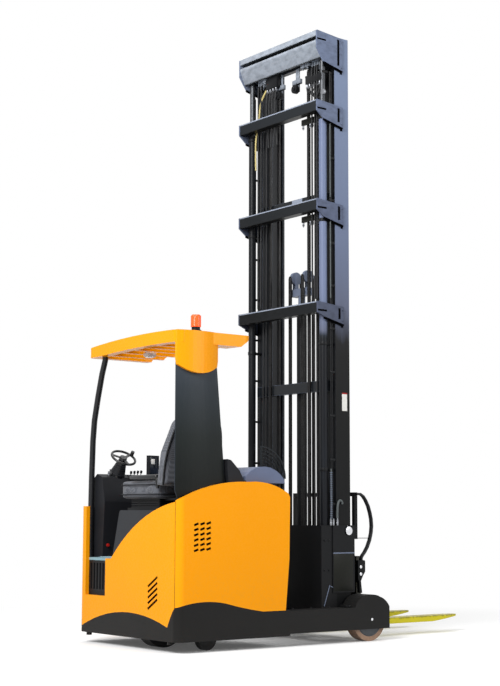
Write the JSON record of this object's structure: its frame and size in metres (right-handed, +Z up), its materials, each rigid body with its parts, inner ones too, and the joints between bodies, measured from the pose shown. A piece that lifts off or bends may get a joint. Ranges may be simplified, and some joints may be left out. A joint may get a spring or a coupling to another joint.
{
  "type": "reach truck",
  "caption": "Electric warehouse reach truck: sit-on cab with overhead guard, sliding three-stage lift mast between load legs, tilting and side-shifting forks.",
  "frame": {"origin": "on the floor, under the middle of the overall box", "axes": "+X towards the fork tips, +Y to the left, +Z up"},
  "size_m": [2.988, 1.27, 4.632],
  "materials": {
    "frame_paint": "satin black-grey powder coat",
    "cover_yellow": "glossy moulded covers",
    "cab_plastic": "grained moulded plastic",
    "slate_plastic": "satin moulded plastic",
    "floor_rubber": "ribbed mat",
    "seat_fabric": "woven seat cloth with vinyl sides",
    "battery_case": "plain block that stands for the battery",
    "mast_paint": "satin paint on rolled steel",
    "bright_rod": "hard chromed and ground",
    "chain_steel": "oiled steel",
    "beacon_orange": "moulded lens",
    "drive_rubber": "solid tyre",
    "hub_steel": "machined steel",
    "load_polyurethane": "cast polyurethane",
    "fork_paint": "painted forged steel",
    "hose_rubber": "hydraulic hose"
  },
  "bodies": {
    "chassis": {"base_frame": "frame_paint", "leg_left": "frame_paint", "leg_right": "frame_paint", "rear_cover": "cover_yellow", "side_cover_left": "cover_yellow", "side_cover_right": "cover_yellow", "cab_floor": "floor_rubber", "step_riser": "cab_plastic", "bulkhead": "cab_plastic", "battery_block": "battery_case", "hood": "slate_plastic", "hood_screen": "mast_paint", "side_console": "cab_plastic", "pedals": "frame_paint", "seat_pedestal": "slate_plastic", "seat_suspension": "cab_plastic", "seat_cushion": "seat_fabric", "seat_back": "seat_fabric", "dash_console": "cab_plastic", "steering_column": "cab_plastic", "display": "cab_plastic", "pillar": "slate_plastic", "guard_roof": "cover_yellow", "guard_tube": "mast_paint", "beacon_base": "cab_plastic", "beacon_lens": "beacon_orange", "reach_barrel": "mast_paint"},
    "drive_steer": {"drive_unit": "frame_paint"},
    "drive_wheel": {"drive_hub": "hub_steel", "drive_tyre": "drive_rubber"},
    "caster_swivel": {"caster_fork": "frame_paint"},
    "caster_roller": {"caster_wheel": "drive_rubber"},
    "load_wheel_left": {"load_hub_left": "hub_steel", "load_tyre_left": "load_polyurethane"},
    "load_wheel_right": {"load_hub_right": "hub_steel", "load_tyre_right": "load_polyurethane"},
    "hand_wheel": {"steering_wheel": "cab_plastic"},
    "reach": {"reach_carriage": "frame_paint", "reach_rollers": "chain_steel", "reach_rod": "bright_rod", "outer_mast": "mast_paint", "cross_beams": "mast_paint", "lift_barrels": "mast_paint"},
    "middle_stage": {"middle_mast": "mast_paint", "lift_rods": "bright_rod", "lift_chains": "chain_steel"},
    "inner_stage": {"inner_mast": "mast_paint", "free_barrel": "mast_paint"},
    "crosshead": {"free_head": "mast_paint", "free_chains": "chain_steel"},
    "carriage": {"lift_carriage": "frame_paint"},
    "tilt": {"tilt_frame": "frame_paint"},
    "side_shift": {"fork_carriage": "frame_paint", "load_backrest": "frame_paint", "fork_left": "fork_paint", "fork_right": "fork_paint", "carriage_hoses": "hose_rubber"}
  },
  "joints": [
    {"name": "drive_steering", "type": "hinge", "parent": "chassis", "child": "drive_steer", "pos_m": [-1.262, -0.095, 0.171], "axis": [0, 0, 1], "range_deg": [-90, 90]},
    {"name": "drive_roll", "type": "hinge", "parent": "drive_steer", "child": "drive_wheel", "pos_m": [-1.262, -0.095, 0.171], "axis": [0, 1, 0], "continuous": true},
    {"name": "caster_turn", "type": "hinge", "parent": "chassis", "child": "caster_swivel", "pos_m": [-1.109, -0.478, 0.18], "axis": [0, 0, 1], "continuous": true},
    {"name": "caster_roll", "type": "hinge", "parent": "caster_swivel", "child": "caster_roller", "pos_m": [-1.147, -0.478, 0.075], "axis": [0, 1, 0], "continuous": true},
    {"name": "load_roll_left", "type": "hinge", "parent": "chassis", "child": "load_wheel_left", "pos_m": [0.263, 0.56, 0.16], "axis": [0, 1, 0], "continuous": true},
    {"name": "load_roll_right", "type": "hinge", "parent": "chassis", "child": "load_wheel_right", "pos_m": [0.263, -0.56, 0.16], "axis": [0, 1, 0], "continuous": true},
    {"name": "hand_wheel_turn", "type": "hinge", "parent": "chassis", "child": "hand_wheel", "pos_m": [-1.259, 0.42, 1.345], "axis": [0, -0.5736, 0.8192], "range_deg": [-450, 450]},
    {"name": "mast_reach", "type": "slide", "parent": "chassis", "child": "reach", "axis": [1, 0, 0], "range_m": [-0.34, 0.25]},
    {"name": "mast_lift", "type": "slide", "parent": "reach", "child": "middle_stage", "axis": [0, 0, 1], "range_m": [0, 3.45]},
    {"name": "inner_lift", "type": "slide", "parent": "middle_stage", "child": "inner_stage", "axis": [0, 0, 1], "range_m": [0, 3.45]},
    {"name": "free_lift", "type": "slide", "parent": "inner_stage", "child": "carriage", "axis": [0, 0, 1], "range_m": [-0.04, 3.3]},
    {"name": "crosshead_lift", "type": "slide", "parent": "inner_stage", "child": "crosshead", "axis": [0, 0, 1], "range_m": [-0.02, 1.65]},
    {"name": "fork_tilt", "type": "hinge", "parent": "carriage", "child": "tilt", "pos_m": [0.271, 0, 0.6], "axis": [0, 1, 0], "range_deg": [-4, 2]},
    {"name": "fork_side_shift", "type": "slide", "parent": "tilt", "child": "side_shift", "axis": [0, 1, 0], "range_m": [-0.075, 0.075]}
  ],
  "couplings": [
    {"joint": "inner_lift", "follows": "mast_lift", "ratio": 1},
    {"joint": "crosshead_lift", "follows": "free_lift", "ratio": 0.5},
    {"joint": "hand_wheel_turn", "follows": "drive_steering", "ratio": 5}
  ]
}
